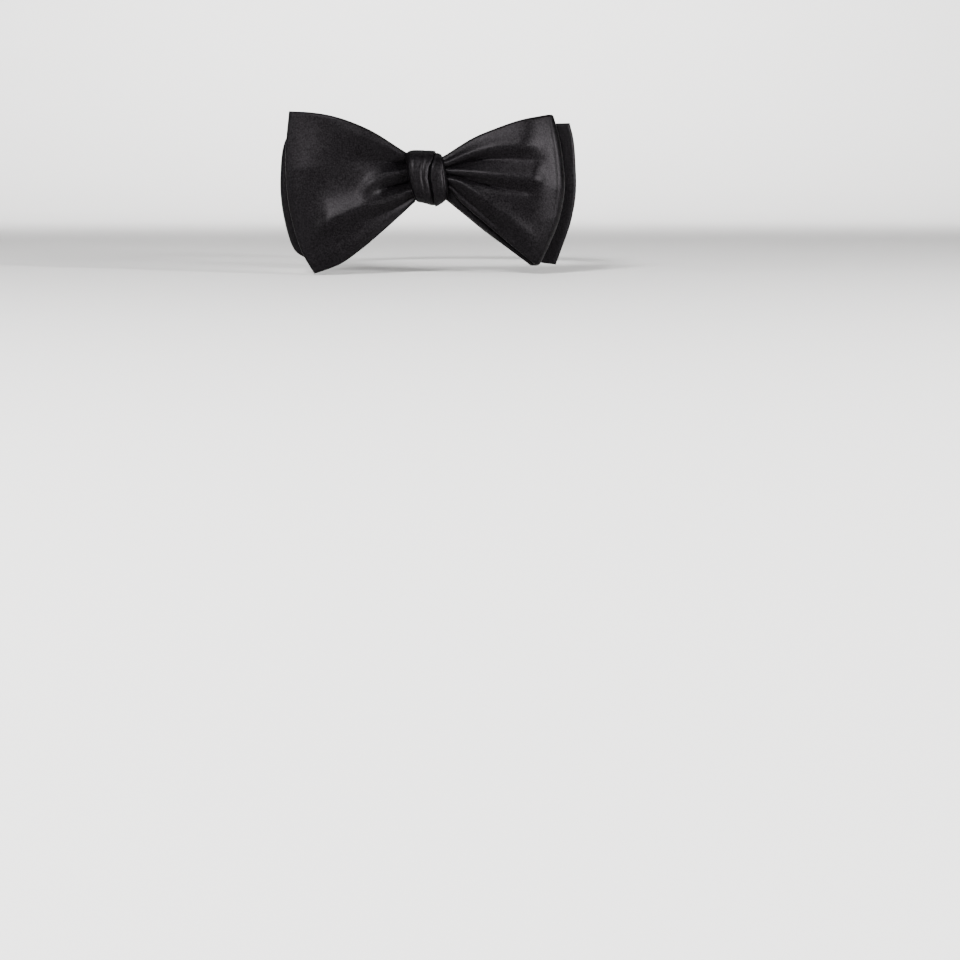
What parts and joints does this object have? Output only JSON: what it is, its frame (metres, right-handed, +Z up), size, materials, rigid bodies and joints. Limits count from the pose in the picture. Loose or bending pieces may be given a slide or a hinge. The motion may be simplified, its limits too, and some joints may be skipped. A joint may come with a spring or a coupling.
{
  "type": "bow tie",
  "caption": "Tied black satin butterfly bow tie with flat blade ends and folded loops under a wrapped knot, on an adjustable neckband with slider, hook and eye.",
  "frame": {"origin": "on the neck's axis at the neckband's mid-height, the centre of the neck opening", "axes": "+Z up along the neck, -Y towards the viewer so the bow lies at negative Y, +X to the viewer's right"},
  "size_m": [0.1293, 0.1518, 0.071],
  "materials": {
    "satin": "black satin weave with a soft sheen",
    "lining_satin": "the same black satin, on the hidden side",
    "interlining": "matt woven canvas",
    "clasp_metal": "nickel-plated, slightly worn",
    "thread": "matt black sewing thread",
    "label_tape": "plain woven tape, blank"
  },
  "bodies": {
    "knot": {"knot_wrap_satin": "satin", "knot_wrap_interlining": "interlining", "front_waist": "satin", "rear_waist": "satin", "band_bridge": "satin", "right_front_strap": "satin", "right_front_interlining": "interlining", "size_label": "label_tape", "right_rear_strap": "satin", "right_rear_interlining": "interlining"},
    "front_left_wing": {"front_blade_face": "satin", "front_blade_interlining": "interlining", "front_blade_lining": "lining_satin"},
    "front_right_wing": {"front_loop_face": "satin", "front_loop_interlining": "interlining", "front_loop_lining": "lining_satin"},
    "rear_right_wing": {"rear_blade_face": "satin", "rear_blade_interlining": "interlining", "rear_blade_lining": "lining_satin"},
    "rear_left_wing": {"rear_loop_face": "satin", "rear_loop_interlining": "interlining", "rear_loop_lining": "lining_satin"},
    "left_front_band": {"left_front_strap": "satin", "left_front_interlining": "interlining"},
    "left_rear_band": {"left_rear_strap": "satin", "left_rear_interlining": "interlining"},
    "hook_end": {"left_end_strap": "satin", "left_end_interlining": "interlining", "hook_fold": "satin", "hook_bartack": "thread", "hook": "clasp_metal"},
    "eye_end": {"eye": "clasp_metal", "eye_fold": "satin", "return_ply": "satin"},
    "slider_end": {"slider": "clasp_metal", "slider_fold": "satin", "slider_bartack": "thread"}
  },
  "joints": [
    {"name": "front_blade_bend", "type": "hinge", "parent": "knot", "child": "front_left_wing", "pos_m": [-0.009, -0.07635, 0], "axis": [0, 0, 1], "range_deg": [0, 20]},
    {"name": "front_loop_bend", "type": "hinge", "parent": "knot", "child": "front_right_wing", "pos_m": [0.009, -0.07635, 0], "axis": [0, 0, -1], "range_deg": [0, 20]},
    {"name": "rear_blade_bend", "type": "hinge", "parent": "knot", "child": "rear_right_wing", "pos_m": [0.009, -0.06745, 0], "axis": [0, 0, 1], "range_deg": [0, 8]},
    {"name": "rear_loop_bend", "type": "hinge", "parent": "knot", "child": "rear_left_wing", "pos_m": [-0.009, -0.06745, 0], "axis": [0, 0, -1], "range_deg": [0, 8]},
    {"name": "size_adjust", "type": "hinge", "parent": "knot", "child": "eye_end", "pos_m": [0, 0, 0], "axis": [0, 0, -1], "range_deg": [0, 9]},
    {"name": "slider_travel", "type": "hinge", "parent": "eye_end", "child": "slider_end", "pos_m": [0, 0, 0], "axis": [0, 0, -1], "range_deg": [0, 9]},
    {"name": "band_follow", "type": "hinge", "parent": "knot", "child": "left_front_band", "pos_m": [-0.00911, -0.06264, 0], "axis": [0, 0, -1], "range_deg": [0, 4.4]},
    {"name": "band_open", "type": "hinge", "parent": "left_front_band", "child": "left_rear_band", "pos_m": [-0.0633, 0, 0], "axis": [0, 0, 1], "range_deg": [0, 16]},
    {"name": "hook_release", "type": "hinge", "parent": "left_rear_band", "child": "hook_end", "pos_m": [-0.04069, 0.04849, 0], "axis": [0, 0, 1], "range_deg": [0, 72]}
  ],
  "couplings": [
    {"joint": "slider_travel", "follows": "size_adjust", "ratio": 1},
    {"joint": "band_follow", "follows": "size_adjust", "ratio": 0.485},
    {"joint": "hook_release", "follows": "band_open", "ratio": 4.5}
  ]
}
